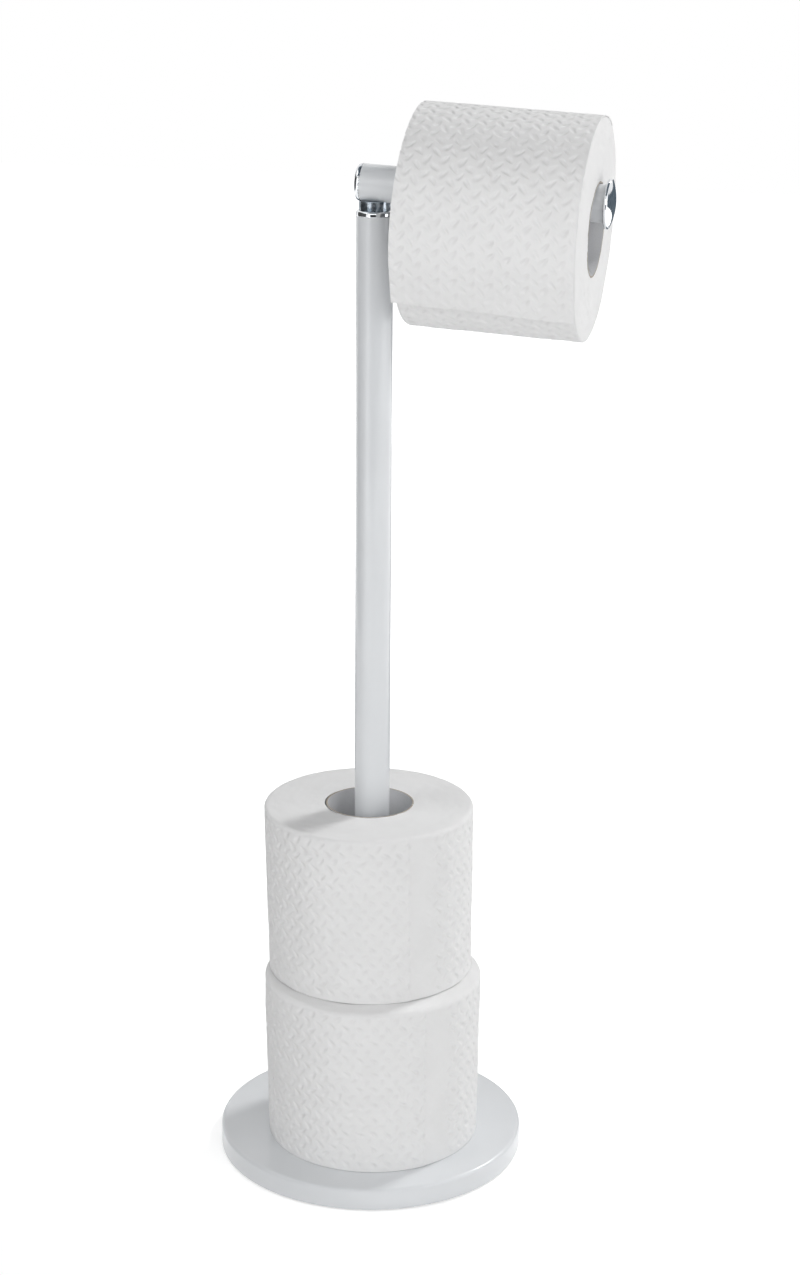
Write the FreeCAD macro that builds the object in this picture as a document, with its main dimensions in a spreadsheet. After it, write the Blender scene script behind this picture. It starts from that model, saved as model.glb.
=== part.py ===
"""Free-standing toilet roll holder: a weighted round base, a post for spare rolls and a swivelling arm.

It stands loaded, with two spare rolls on the post and one roll on the arm.
Origin: on the floor, on the post's axis. +Z runs up the post and +X along the arm, towards its button.
Lengths are in millimetres and angles in degrees.
"""
import FreeCAD
import Part
import Sketcher
import math
import operator
import os

Vector = FreeCAD.Vector

SIZES = {
    # Clearances shared by every fit
    "slip_clear": 0.05,
    "drill_clear": 0.3,
    "cut_overrun": 2.0,
    # Base: a pressed dish over a ballast disc, on an anti-slip pad
    "base_diameter": 169.0,
    "base_height": 13.0,
    "cover_wall": 1.2,
    "cover_round": 2.0,
    "rim_gap": 1.0,
    "weight_gap": 0.5,
    "weight_recess_diameter": 24.0,
    "weight_web": 3.8,
    "pad_thickness": 3.0,
    "pad_inset": 2.0,
    "pad_hole_diameter": 30.0,
    # Bolt that ties the base to the post
    "base_bolt_diameter": 8.0,
    "base_bolt_length": 25.0,
    "base_bolt_head_width": 13.0,
    "base_bolt_head_height": 5.3,
    "base_washer_diameter": 16.0,
    "base_washer_thickness": 1.6,
    # Post
    "post_diameter": 19.0,
    "post_wall": 1.0,
    "post_length": 511.0,
    "foot_insert_length": 22.0,
    # Collar in the top of the post
    "collar_flange": 2.8,
    "collar_round": 1.3,
    "collar_spigot": 14.0,
    # Neck that carries the arm
    "neck_diameter": 16.2,
    "neck_rise": 4.0,
    "saddle_depth": 0.9,
    # Arm
    "arm_diameter": 19.0,
    "arm_wall": 1.0,
    "arm_sag": 2.7,
    "arm_back": 6.4,
    "arm_end_gap": 4.2,
    "rear_cap_thickness": 2.6,
    "rear_cap_round": 2.0,
    "rear_spigot": 18.0,
    "button_diameter": 25.0,
    "button_rim": 1.8,
    "button_dome": 2.6,
    "button_spigot": 14.0,
    # Bolt that the arm swivels on
    "swivel_bolt_diameter": 6.0,
    "swivel_bolt_length": 37.0,
    "swivel_bolt_head_width": 10.0,
    "swivel_bolt_head_height": 4.0,
    "swivel_tip_gap": 1.0,
    "swivel_washer_diameter": 11.8,
    "swivel_washer_thickness": 1.6,
    "swivel_washer_split": 1.0,
    # Rolls of tissue
    "core_bore": 46.4,
    "core_wall": 0.8,
    "sheet_thickness": 0.5,
    "roll_bevel": 2.5,
    # Roll on the arm
    "arm_roll_diameter": 111.8,
    "arm_roll_width": 92.2,
    "arm_roll_start": 23.2,
    "arm_roll_seam": 150.0,
    "hang_gap": 0.4,
    "loose_sheet_length": 159.0,
    "loose_sheet_shift": 0.9,
    # Spare rolls on the post
    "upper_roll_diameter": 113.4,
    "upper_roll_width": 95.0,
    "upper_roll_shift_x": -1.8,
    "upper_roll_shift_y": 2.2,
    "upper_roll_seam": 307.0,
    "lower_roll_diameter": 119.0,
    "lower_roll_width": 95.0,
    "lower_roll_shift_x": 2.7,
    "lower_roll_shift_y": -5.8,
    "lower_roll_seam": 313.0,
}

QUARTER_TURN = 90
HALF_TURN = 180
FULL_TURN = 360
HEX_SIDES = 6
# Each rounding and dome is drawn in this many flats
ROUND_FLATS = 2
Y_AXIS = Vector(0, 1, 0)
Z_AXIS = Vector(0, 0, 1)


class Size:
    """A size that is known both as a number and as a formula over the sheet's cells."""

    def __init__(self, number, formula):
        self.number = number
        self.formula = formula

    def joined(self, work, sign, other):
        """The result of one step of arithmetic, in both forms."""
        if not isinstance(other, Size):
            other = Size(other, str(other))
        return Size(work(self.number, other.number), f"({self.formula} {sign} {other.formula})")

    def __add__(self, other):
        return self.joined(operator.add, "+", other)

    def __sub__(self, other):
        return self.joined(operator.sub, "-", other)

    def __mul__(self, other):
        return self.joined(operator.mul, "*", other)

    def __truediv__(self, other):
        return self.joined(operator.truediv, "/", other)

    def __neg__(self):
        return self * -1


NOTHING = Size(0, "0")

doc = FreeCAD.newDocument("toilet_roll_holder")
sheet = doc.addObject("Spreadsheet::Sheet", "sizes")


def fill_sheet():
    """Writes each driving size in a row of the sheet and returns them all by name."""
    sizes = {}
    for row, (name, value) in enumerate(SIZES.items(), start=1):
        sheet.set(f"A{row}", name)
        sheet.set(f"B{row}", str(value))
        sheet.setAlias(f"B{row}", name)
        sizes[name] = Size(value, f"sizes.{name}")
    doc.recompute()
    return sizes


size = fill_sheet()


def radius(name):
    """Half of a named diameter."""
    return size[name] / 2


def sine(angle):
    return Size(math.sin(math.radians(angle.number)), f"sin({angle.formula})")


def cosine(angle):
    return Size(math.cos(math.radians(angle.number)), f"cos({angle.formula})")


# Heights and places that several pieces share
FLOOR = NOTHING
COVER_TOP = size["base_height"]
COVER_CEILING = COVER_TOP - size["cover_wall"]
BOLT_SEAT = COVER_CEILING - size["weight_web"]
POST_TOP = COVER_TOP + size["post_length"]
COLLAR_TOP = POST_TOP + size["collar_flange"]
COLLAR_FOOT = POST_TOP - size["collar_spigot"]
ARM_HEIGHT = COLLAR_TOP + size["neck_rise"] + radius("arm_diameter")
SWIVEL_HEAD_TOP = COLLAR_FOOT - size["swivel_washer_thickness"]
SWIVEL_BOLT_TOP = SWIVEL_HEAD_TOP + size["swivel_bolt_length"]

POST_BORE = radius("post_diameter") - size["post_wall"]
POST_PLUG = POST_BORE - size["slip_clear"]
ARM_BORE = radius("arm_diameter") - size["arm_wall"]
ARM_PLUG = ARM_BORE - size["slip_clear"]
BASE_THREAD = radius("base_bolt_diameter") + size["slip_clear"]
BASE_DRILL = radius("base_bolt_diameter") + size["drill_clear"]
SWIVEL_BORE = radius("swivel_bolt_diameter") + size["slip_clear"]
SWIVEL_DRILL = radius("swivel_bolt_diameter") + size["drill_clear"]
CORE_OUTSIDE = radius("core_bore") + size["core_wall"]

ARM_REACH = size["arm_roll_start"] + size["arm_roll_width"] + size["arm_end_gap"]
SAG_SIN = sine(size["arm_sag"])
SAG_COS = cosine(size["arm_sag"])
ARM_TURN = size["arm_sag"] + QUARTER_TURN
DROP_TURN = -size["arm_sag"] + QUARTER_TURN


def bind(thing, path, value):
    """Ties one property of an object to the sheet."""
    thing.setExpression(path, value.formula)


def new_body(label):
    body = doc.addObject("PartDesign::Body", label)
    body.Label = label
    return body


def put(thing, place, angle=NOTHING, axis=Y_AXIS):
    """Puts an object at a place, turned about an axis, with both tied to the sheet."""
    base = Vector(*(part.number for part in place))
    thing.Placement = FreeCAD.Placement(base, FreeCAD.Rotation(axis, angle.number))
    for letter, part in zip("xyz", place):
        bind(thing, f"Placement.Base.{letter}", part)
    if angle is not NOTHING:
        bind(thing, "Placement.Rotation.Angle", angle)


def along_arm(body):
    """Lays a body's own Z axis along the sagging arm, from the post's axis."""
    put(body, (NOTHING, NOTHING, ARM_HEIGHT), ARM_TURN)


def plane_sketch(body, role):
    """An empty sketch on one of the body's own origin planes."""
    sketch = body.newObject("Sketcher::SketchObject", f"{body.Label}_{role[:2]}_sketch")
    plane = next(feature for feature in body.Origin.OriginFeatures if feature.Role == role)
    sketch.AttachmentSupport = (plane, [""])
    sketch.MapMode = "FlatFace"
    return sketch


def fix_point(sketch, edge, end, place):
    """Ties one end of a sketched edge to its place from the sketch's origin."""
    for kind, axis, value in (("DistanceX", -2, place[0]), ("DistanceY", -1, place[1])):
        if value is NOTHING:
            sketch.addConstraint(Sketcher.Constraint("PointOnObject", edge, end, axis))
        else:
            tie = sketch.addConstraint(Sketcher.Constraint(kind, -1, 1, edge, end, value.number))
            bind(sketch, f"Constraints[{tie}]", value)


def set_radius(sketch, edge, value):
    tie = sketch.addConstraint(Sketcher.Constraint("Radius", edge, value.number))
    bind(sketch, f"Constraints[{tie}]", value)


def draw_polygon(sketch, corners):
    """Adds a loop of straight edges round the corners, each corner tied to the sheet."""
    first = sketch.GeometryCount
    count = len(corners)
    points = [Vector(across.number, along.number, 0) for across, along in corners]
    for number in range(count):
        sketch.addGeometry(Part.LineSegment(points[number], points[(number + 1) % count]), False)
    for number, corner in enumerate(corners):
        after = first + (number + 1) % count
        sketch.addConstraint(Sketcher.Constraint("Coincident", first + number, 2, after, 1))
        fix_point(sketch, first + number, 1, corner)


def draw_circle(sketch, across):
    """Adds a circle round the sketch's origin."""
    edge = sketch.addGeometry(Part.Circle(Vector(0, 0, 0), Z_AXIS, across.number), False)
    sketch.addConstraint(Sketcher.Constraint("Coincident", edge, 3, -1, 1))
    set_radius(sketch, edge, across)


def pad_up(body, sketch, length):
    pad = body.newObject("PartDesign::Pad", f"{body.Label}_pad")
    pad.Profile = sketch
    bind(pad, "Length", length)
    doc.recompute()


def rounded(across, up, bend, first, last):
    """Corners of a rounding about a centre, from one angle to another, in flats."""
    corners = []
    for flat in range(ROUND_FLATS + 1):
        angle = math.radians(first + (last - first) * flat / ROUND_FLATS)
        corners.append((across + bend * math.cos(angle), up + bend * math.sin(angle)))
    return corners


def domed(across, up, rise):
    """Corners of a shallow dome from its rim to its apex on the axis, in flats."""
    corners = []
    for flat in range(ROUND_FLATS):
        rim_share = 1 - flat / ROUND_FLATS
        corners.append((across * rim_share, up + rise * (1 - rim_share * rim_share)))
    return corners + [(NOTHING, up + rise)]


def spun(body, kind, sketch):
    """Adds a full turn of a sketch about its upright axis: a solid, or a cut that has to remove something."""
    before = body.Tip.Shape.Volume if kind == "Groove" else None
    spin = body.newObject(f"PartDesign::{kind}", f"{body.Label}_{kind.lower()}")
    spin.Profile = sketch
    spin.ReferenceAxis = (sketch, ["V_Axis"])
    spin.Angle = FULL_TURN
    doc.recompute()
    if before and not body.Tip.Shape.Volume < before:
        raise ValueError(f"{spin.Label} cuts nothing")


def turned(label, corners):
    """A body of revolution about Z, from its (radius, height) corners."""
    body = new_body(label)
    sketch = plane_sketch(body, "XZ_Plane")
    draw_polygon(sketch, corners)
    spun(body, "Revolution", sketch)
    return body


def ring(inside, outside, low, high):
    """Corners of a plain washer or tube."""
    return [(inside, low), (outside, low), (outside, high), (inside, high)]


def drill(body, name, across, depth, place, angle=NOTHING):
    """Cuts a round hole from a place along Z, turned about Y."""
    before = body.Tip.Shape.Volume
    hole = body.newObject("PartDesign::SubtractiveCylinder", f"{body.Label}_{name}")
    bind(hole, "Radius", across)
    bind(hole, "Height", depth)
    put(hole, place, angle)
    doc.recompute()
    if not body.Tip.Shape.Volume < before:
        raise ValueError(f"{hole.Label} cuts nothing")


def tube(label, inside, outside, length):
    """A plain tube, padded up from the body's origin."""
    body = new_body(label)
    sketch = plane_sketch(body, "XY_Plane")
    draw_circle(sketch, outside)
    draw_circle(sketch, inside)
    pad_up(body, sketch, length)
    return body


def hex_bolt(bolt, head_top):
    """A hexagon-head bolt, head down, with its shank standing on the given height."""
    body = new_body(bolt)
    head = body.newObject("PartDesign::AdditivePrism", f"{bolt}_head")
    head.Polygon = HEX_SIDES
    bind(head, "Circumradius", size[f"{bolt}_head_width"] / math.sqrt(3))
    bind(head, "Height", size[f"{bolt}_head_height"])
    put(head, (NOTHING, NOTHING, head_top - size[f"{bolt}_head_height"]))
    shank = body.newObject("PartDesign::AdditiveCylinder", f"{bolt}_shank")
    bind(shank, "Radius", radius(f"{bolt}_diameter"))
    bind(shank, "Height", size[f"{bolt}_length"])
    put(shank, (NOTHING, NOTHING, head_top))
    doc.recompute()
    return body


def base_cover():
    outside = radius("base_diameter")
    inside = outside - size["cover_wall"]
    bend = size["cover_round"]
    edge = rounded(outside - bend, COVER_TOP - bend, bend, QUARTER_TURN, 0)
    return turned("base_cover", [(BASE_DRILL, COVER_TOP)] + edge + [
        (outside, size["rim_gap"]),
        (inside, size["rim_gap"]),
        (inside, COVER_CEILING),
        (BASE_DRILL, COVER_CEILING),
    ])


def weight_radius():
    return radius("base_diameter") - size["cover_wall"] - size["weight_gap"]


def base_weight():
    outside = weight_radius()
    recess = radius("weight_recess_diameter")
    return turned("base_weight", [
        (BASE_DRILL, COVER_CEILING),
        (outside, COVER_CEILING),
        (outside, size["pad_thickness"]),
        (recess, size["pad_thickness"]),
        (recess, BOLT_SEAT),
        (BASE_DRILL, BOLT_SEAT),
    ])


def base_pad():
    outside = weight_radius() - size["pad_inset"]
    return turned("base_pad", ring(radius("pad_hole_diameter"), outside, FLOOR, size["pad_thickness"]))


def base_washer():
    low = BOLT_SEAT - size["base_washer_thickness"]
    return turned("base_washer", ring(BASE_DRILL, radius("base_washer_diameter"), low, BOLT_SEAT))


def base_bolt():
    return hex_bolt("base_bolt", BOLT_SEAT - size["base_washer_thickness"])


def post_foot_insert():
    top = COVER_TOP + size["foot_insert_length"]
    return turned("post_foot_insert", ring(BASE_THREAD, POST_PLUG, COVER_TOP, top))


def post_tube():
    body = tube("post_tube", POST_BORE, radius("post_diameter"), size["post_length"])
    put(body, (NOTHING, NOTHING, COVER_TOP))
    return body


def post_collar():
    flange = radius("post_diameter")
    bend = size["collar_round"]
    edge = rounded(flange - bend, COLLAR_TOP - bend, bend, 0, QUARTER_TURN)
    return turned("post_collar", [
        (SWIVEL_BORE, COLLAR_FOOT),
        (POST_PLUG, COLLAR_FOOT),
        (POST_PLUG, POST_TOP),
        (flange, POST_TOP),
    ] + edge + [(SWIVEL_BORE, COLLAR_TOP)])


def saddle_neck():
    top = COLLAR_TOP + size["neck_rise"] + size["saddle_depth"]
    body = turned("saddle_neck", ring(SWIVEL_BORE, radius("neck_diameter"), COLLAR_TOP, top))
    half_groove = radius("neck_diameter") + size["cut_overrun"]
    start = (-half_groove * SAG_COS, NOTHING, ARM_HEIGHT + half_groove * SAG_SIN)
    drill(body, "groove", radius("arm_diameter") + size["slip_clear"], half_groove * 2, start, ARM_TURN)
    return body


def arm_tube():
    body = turned("arm_tube", ring(ARM_BORE, radius("arm_diameter"), -size["arm_back"], ARM_REACH))
    depth = radius("arm_diameter") + size["cut_overrun"]
    drill(body, "bolt_hole", SWIVEL_DRILL, depth, (NOTHING, NOTHING, NOTHING), DROP_TURN)
    along_arm(body)
    return body


def arm_rear_cap():
    outside = radius("arm_diameter")
    seat = -size["arm_back"]
    end = seat - size["rear_cap_thickness"]
    inner = seat + size["rear_spigot"]
    bend = size["rear_cap_round"]
    edge = rounded(outside - bend, end + bend, bend, -QUARTER_TURN, 0)
    body = turned("arm_rear_cap", [(NOTHING, end)] + edge + [
        (outside, seat),
        (ARM_PLUG, seat),
        (ARM_PLUG, inner),
        (NOTHING, inner),
    ])
    rise = SWIVEL_BOLT_TOP + size["swivel_tip_gap"] - ARM_HEIGHT
    start = (-rise * SAG_COS, NOTHING, -rise * SAG_SIN)
    depth = rise + radius("arm_diameter") + size["cut_overrun"]
    drill(body, "thread", SWIVEL_BORE, depth, start, DROP_TURN)
    along_arm(body)
    return body


def arm_button():
    outside = radius("button_diameter")
    rim = ARM_REACH + size["button_rim"]
    body = turned("arm_button", [
        (NOTHING, ARM_REACH - size["button_spigot"]),
        (ARM_PLUG, ARM_REACH - size["button_spigot"]),
        (ARM_PLUG, ARM_REACH),
        (outside, ARM_REACH),
    ] + domed(outside, rim, size["button_dome"]))
    along_arm(body)
    return body


def swivel_bolt():
    return hex_bolt("swivel_bolt", SWIVEL_HEAD_TOP)


def swivel_washer():
    outside = radius("swivel_washer_diameter")
    body = turned("swivel_washer", ring(SWIVEL_DRILL, outside, SWIVEL_HEAD_TOP, COLLAR_FOOT))
    split = body.newObject("PartDesign::SubtractiveBox", "swivel_washer_split")
    bind(split, "Length", outside + size["cut_overrun"])
    bind(split, "Width", size["swivel_washer_split"])
    bind(split, "Height", size["swivel_washer_thickness"] + size["cut_overrun"] * 2)
    place = (NOTHING, -size["swivel_washer_split"] / 2, SWIVEL_HEAD_TOP - size["cut_overrun"])
    put(split, place)
    doc.recompute()
    return body


def set_on_arm(body):
    """Hangs a roll's piece on the arm, its core resting on the top of the tube."""
    drop = radius("core_bore") - radius("arm_diameter") - size["hang_gap"]
    start = size["arm_roll_start"]
    across = start * SAG_COS - drop * SAG_SIN
    up = ARM_HEIGHT - start * SAG_SIN - drop * SAG_COS
    put(body, (across, NOTHING, up), ARM_TURN)


def set_on_post(body, roll, height):
    """Stands a roll's piece on end, round the post but not quite centred on it."""
    put(body, (size[f"{roll}_shift_x"], size[f"{roll}_shift_y"], height))


def soften_rims(body, outside, width):
    """Bevels both rims of a roll with one groove, whose two loops reach past the paper."""
    sketch = plane_sketch(body, "XZ_Plane")
    bevel = size["roll_bevel"]
    past = outside + size["cut_overrun"]
    for face, inwards, beyond in (
        (NOTHING, bevel, -size["cut_overrun"]),
        (width, width - bevel, width + size["cut_overrun"]),
    ):
        draw_polygon(sketch, [
            (outside - bevel, face),
            (outside, inwards),
            (past, inwards),
            (past, beyond),
            (outside - bevel, beyond),
        ])
    spun(body, "Groove", sketch)


def tissue_winding(roll):
    """Wound tissue whose radius grows by one sheet in a turn, so it ends in a step at the seam."""
    body = new_body(f"{roll}_paper")
    sketch = plane_sketch(body, "XY_Plane")
    seam = size[f"{roll}_seam"]
    sketch.AttachmentOffset = FreeCAD.Placement(Vector(0, 0, 0), FreeCAD.Rotation(Z_AXIS, seam.number))
    bind(sketch, "AttachmentOffset.Rotation.Angle", seam)
    start = radius(f"{roll}_diameter")
    step = size["sheet_thickness"]
    first_half = Part.Circle(Vector(0, 0, 0), Z_AXIS, start.number)
    second_half = Part.Circle(Vector((step / 2).number, 0, 0), Z_AXIS, (start + step / 2).number)
    step_out = Vector((start + step).number, 0, 0)
    step_in = Vector(start.number, 0, 0)
    draw_circle(sketch, CORE_OUTSIDE + size["slip_clear"])
    sketch.addGeometry(Part.ArcOfCircle(first_half, 0, math.pi), False)
    sketch.addGeometry(Part.ArcOfCircle(second_half, math.pi, 2 * math.pi), False)
    sketch.addGeometry(Part.LineSegment(step_out, step_in), False)
    ties = [
        ("Coincident", 1, 3, -1, 1),
        ("PointOnObject", 1, 1, -1),
        ("PointOnObject", 1, 2, -1),
        ("Coincident", 2, 1, 1, 2),
        ("PointOnObject", 2, 3, -1),
        ("PointOnObject", 2, 2, -1),
        ("Coincident", 3, 1, 2, 2),
        ("Coincident", 3, 2, 1, 1),
    ]
    for tie in ties:
        sketch.addConstraint(Sketcher.Constraint(*tie))
    set_radius(sketch, 1, start)
    step_tie = sketch.addConstraint(Sketcher.Constraint("DistanceX", 3, 2, 3, 1, step.number))
    bind(sketch, f"Constraints[{step_tie}]", step)
    width = size[f"{roll}_width"]
    pad_up(body, sketch, width)
    soften_rims(body, start + step, width)
    return body


def roll_core(roll):
    return tube(f"{roll}_core", radius("core_bore"), CORE_OUTSIDE, size[f"{roll}_width"])


def loose_sheet():
    """The arm roll's last sheet: it carries on from the winding's step and ends below the roll's front."""
    body = new_body("arm_roll_loose_sheet")
    inside = radius("arm_roll_diameter") + size["slip_clear"]
    width = size["arm_roll_width"]
    sector = body.newObject("PartDesign::AdditiveCylinder", "arm_roll_loose_sheet_sector")
    bind(sector, "Radius", inside + size["sheet_thickness"])
    bind(sector, "Height", width)
    bind(sector, "Angle", size["loose_sheet_length"] / inside * (HALF_TURN / math.pi))
    put(sector, (NOTHING, NOTHING, -size["loose_sheet_shift"]), size["arm_roll_seam"], Z_AXIS)
    doc.recompute()
    low_end = -size["loose_sheet_shift"] - size["cut_overrun"]
    drill(body, "inside", inside, width + size["cut_overrun"] * 2, (NOTHING, NOTHING, low_end))
    return body


def stand_pieces():
    return [
        base_cover(),
        base_weight(),
        base_pad(),
        base_washer(),
        base_bolt(),
        post_foot_insert(),
        post_tube(),
        post_collar(),
    ]


def arm_pieces():
    return [
        saddle_neck(),
        arm_tube(),
        arm_rear_cap(),
        arm_button(),
        swivel_bolt(),
        swivel_washer(),
    ]


def arm_roll_pieces():
    pieces = [roll_core("arm_roll"), tissue_winding("arm_roll"), loose_sheet()]
    for piece in pieces:
        set_on_arm(piece)
    return pieces


def spare_roll_pieces(roll, height):
    pieces = [roll_core(roll), tissue_winding(roll)]
    for piece in pieces:
        set_on_post(piece, roll, height)
    return pieces


def check(pieces):
    """Stops if any feature failed or any piece isn't one valid solid."""
    for thing in doc.Objects:
        if "Invalid" in thing.State or "Error" in thing.State:
            raise ValueError(f"{thing.Label} failed: {thing.State}")
    for piece in pieces:
        shape = piece.Shape
        if shape.isNull() or not shape.isValid() or len(shape.Solids) != 1:
            raise ValueError(f"{piece.Label} is not one valid solid")


def main():
    pieces = stand_pieces() + arm_pieces() + arm_roll_pieces()
    pieces += spare_roll_pieces("lower_roll", COVER_TOP)
    pieces += spare_roll_pieces("upper_roll", COVER_TOP + size["lower_roll_width"])
    doc.recompute()
    check(pieces)
    os.makedirs("parts", exist_ok=True)
    for piece in pieces:
        piece.Shape.exportStep(f"parts/{piece.Label}.step")
        print(piece.Label, round(piece.Shape.Volume, 1), piece.Shape.BoundBox)


main()
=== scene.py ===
# %% [markdown]
# # A loaded toilet roll stand
# The real object is a free-standing bathroom stand: a heavy round base, a post that stores two spare
# rolls, and a short arm that carries the roll in use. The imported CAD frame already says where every
# piece is and how it moves, so this lesson is about looks alone. Everything is in metres and in the
# frame's own axes: +Z up the post, +X along the arm. The object's sizes are written in millimetres, and
# MM turns them into metres; camera, lamps, cards and floor are written in metres straight away.

# %% Load the frame
import math
import bmesh
import bpy
import numpy as np
from mathutils import Matrix, Vector


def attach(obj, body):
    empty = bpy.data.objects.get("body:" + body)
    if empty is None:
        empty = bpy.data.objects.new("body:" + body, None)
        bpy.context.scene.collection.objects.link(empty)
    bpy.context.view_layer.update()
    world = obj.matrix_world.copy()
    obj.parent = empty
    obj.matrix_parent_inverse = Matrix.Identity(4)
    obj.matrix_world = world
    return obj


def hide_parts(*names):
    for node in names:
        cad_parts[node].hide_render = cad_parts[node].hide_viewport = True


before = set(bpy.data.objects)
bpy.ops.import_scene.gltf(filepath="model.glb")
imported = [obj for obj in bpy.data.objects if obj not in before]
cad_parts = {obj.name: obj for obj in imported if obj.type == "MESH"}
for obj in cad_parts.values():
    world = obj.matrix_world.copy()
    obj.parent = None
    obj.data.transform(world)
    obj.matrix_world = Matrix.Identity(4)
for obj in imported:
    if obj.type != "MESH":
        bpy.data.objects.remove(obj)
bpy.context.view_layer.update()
scene = bpy.context.scene
scene.view_settings.view_transform = "Standard"
MM = 0.001


# %% [markdown]
# ## The camera
# The photograph was taken from a little above and a little to the right. Such a camera can be set by
# eye, or worked out from the ellipses that the round base, rolls and button make in the picture. The fit
# was used here, because it also gives the lens. Of the three vectors below, the first is the place where
# the camera stands, and the others are the picture's right and its up.

# %% Camera
VIEW_PLACE = Vector((0.3343, -1.3049, 0.7197))
VIEW_RIGHT = Vector((0.97076, 0.23994, 0.00737))
VIEW_UP = Vector((-0.07848, 0.28822, 0.95434))
VIEW_LENS = 74.33
SENSOR = 36.0

lens = bpy.data.cameras.new("photo_camera")
lens.lens = VIEW_LENS
lens.sensor_width = SENSOR
camera = bpy.data.objects.new("photo_camera", lens)
view_back = VIEW_RIGHT.cross(VIEW_UP)
view_turn = Matrix((VIEW_RIGHT, VIEW_UP, view_back)).transposed()
camera.matrix_world = Matrix.Translation(VIEW_PLACE) @ view_turn.to_4x4()
scene.collection.objects.link(camera)
scene.camera = camera
print("camera looks down", round(math.degrees(math.asin(view_back.z)), 1), "degrees")

# %% [markdown]
# ## Shader maths in Python
# A finish is a graph of nodes. Built by hand it is a web of links; built call by call it is a page of
# code that hides the idea. Here one small class wraps a socket and gives it Python's operators, so a
# formula such as 1 - mask * 0.3 adds its own Math nodes. Because the class follows the same rules as a
# number, the embossing formula further down works on sockets and on arrays of mesh points alike.

# %% A socket that follows Python's arithmetic
def operator(kind):
    """The two forms of one operator: the wire comes first, or it comes second."""
    def forward(wire, other):
        return wire.maths(kind, wire, other)

    def reflected(wire, other):
        return wire.maths(kind, other, wire)

    return forward, reflected


class Wire:
    """A value that changes over a surface, held in a node's output socket."""

    __add__, __radd__ = operator("ADD")
    __sub__, __rsub__ = operator("SUBTRACT")
    __mul__, __rmul__ = operator("MULTIPLY")
    __truediv__, __rtruediv__ = operator("DIVIDE")
    __pow__, __rpow__ = operator("POWER")
    __mod__, __rmod__ = operator("FLOORED_MODULO")
    __lt__, __gt__ = operator("LESS_THAN")

    def __init__(self, graph, socket):
        self.graph = graph
        self.socket = socket

    def maths(self, kind, first, second=0.0):
        return self.graph.node("ShaderNodeMath", {"operation": kind}, {0: first, 1: second})

    def __neg__(self):
        return self * -1.0

    def __abs__(self):
        return self.maths("ABSOLUTE", self)

    def at_least(self, floor):
        return self.maths("MAXIMUM", self, floor)

    def step(self, low, high):
        """0 below low, 1 above high, and a smooth S between them."""
        ends = {"Value": self, "From Min": low, "From Max": high}
        return self.graph.node("ShaderNodeMapRange", {"interpolation_type": "SMOOTHSTEP"}, ends)


# %% A graph of nodes
class Graph:
    """A node tree that grows by one method."""

    def __init__(self, tree):
        self.tree = tree

    def feed(self, node, values):
        """Sets a node's sockets to numbers, or links wires to them."""
        for name, value in values.items():
            if isinstance(value, Wire):
                self.tree.links.new(value.socket, node.inputs[name])
            else:
                node.inputs[name].default_value = value

    def node(self, kind, settings, sockets, out=0):
        """Adds any node: its settings first, then its sockets. Returns a wire from one output."""
        made = self.tree.nodes.new(kind)
        for name, value in settings.items():
            setattr(made, name, value)
        self.feed(made, sockets)
        return Wire(self, made.outputs[out])

    def seen(self):
        """1 or more where the camera, a mirror or glass looks, 0 where light falls on a matte surface."""
        camera_ray, mirror_ray, glass_ray = [
            self.node("ShaderNodeLightPath", {}, {}, f"Is {kind} Ray")
            for kind in ("Camera", "Glossy", "Transmission")
        ]
        return camera_ray + mirror_ray + glass_ray


# %% A finish, which is a Principled shader with its graph
class Finish(Graph):
    """A procedural material. Constants sit on the shader's sockets, and wires feed what varies."""

    def __init__(self, name, constants):
        self.material = bpy.data.materials.new(name)
        self.material.use_nodes = True
        super().__init__(self.material.node_tree)
        self.shader = self.tree.nodes["Principled BSDF"]
        self.shade(constants)

    def shade(self, values):
        """Feeds the Principled shader itself."""
        self.feed(self.shader, values)

    def place(self):
        """The point of the surface, in the object's own metres."""
        return self.node("ShaderNodeTexCoord", {}, {}, "Object")

    def noise(self, place, scale, detail=2.0, roughness=0.5):
        return self.node("ShaderNodeTexNoise", {}, {
            "Vector": place, "Scale": scale, "Detail": detail, "Roughness": roughness,
        })

    def blend(self, share, first, second):
        """A colour between two colours."""
        return self.node("ShaderNodeMix", {"data_type": "RGBA"}, {0: share, 6: first, 7: second}, 2)

    def bump(self, height_mm):
        """Tilts the normal as a relief of that many millimetres would."""
        return self.node("ShaderNodeBump", {}, {"Height": height_mm, "Distance": MM, "Strength": 1.0})

    def surface_map(self):
        """The three numbers that each mesh below keeps at its points, as separate wires."""
        whole = self.node("ShaderNodeAttribute", {"attribute_name": "surface_map"}, {}, "Vector")
        return [self.node("ShaderNodeSeparateXYZ", {}, {0: whole}, axis) for axis in "XYZ"]

    def tell(self):
        print(self.material.name, "has", len(self.tree.nodes), "nodes")


# %% [markdown]
# ## White lacquer
# Base, post and arm are steel with a thick, glossy, slightly cool white lacquer. A flat white would look
# like plastic: sprayed lacquer has a faint orange peel, which ripples its reflections, and a tone that
# drifts a little over a hand's breadth. Both come from noise in metres, so neighbouring pieces carry the
# same scale of detail. A clear coat on top gives the wet gloss. In this and the other finishes, a pair
# named ENDS says where a noise starts to count and where it counts in full.

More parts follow.
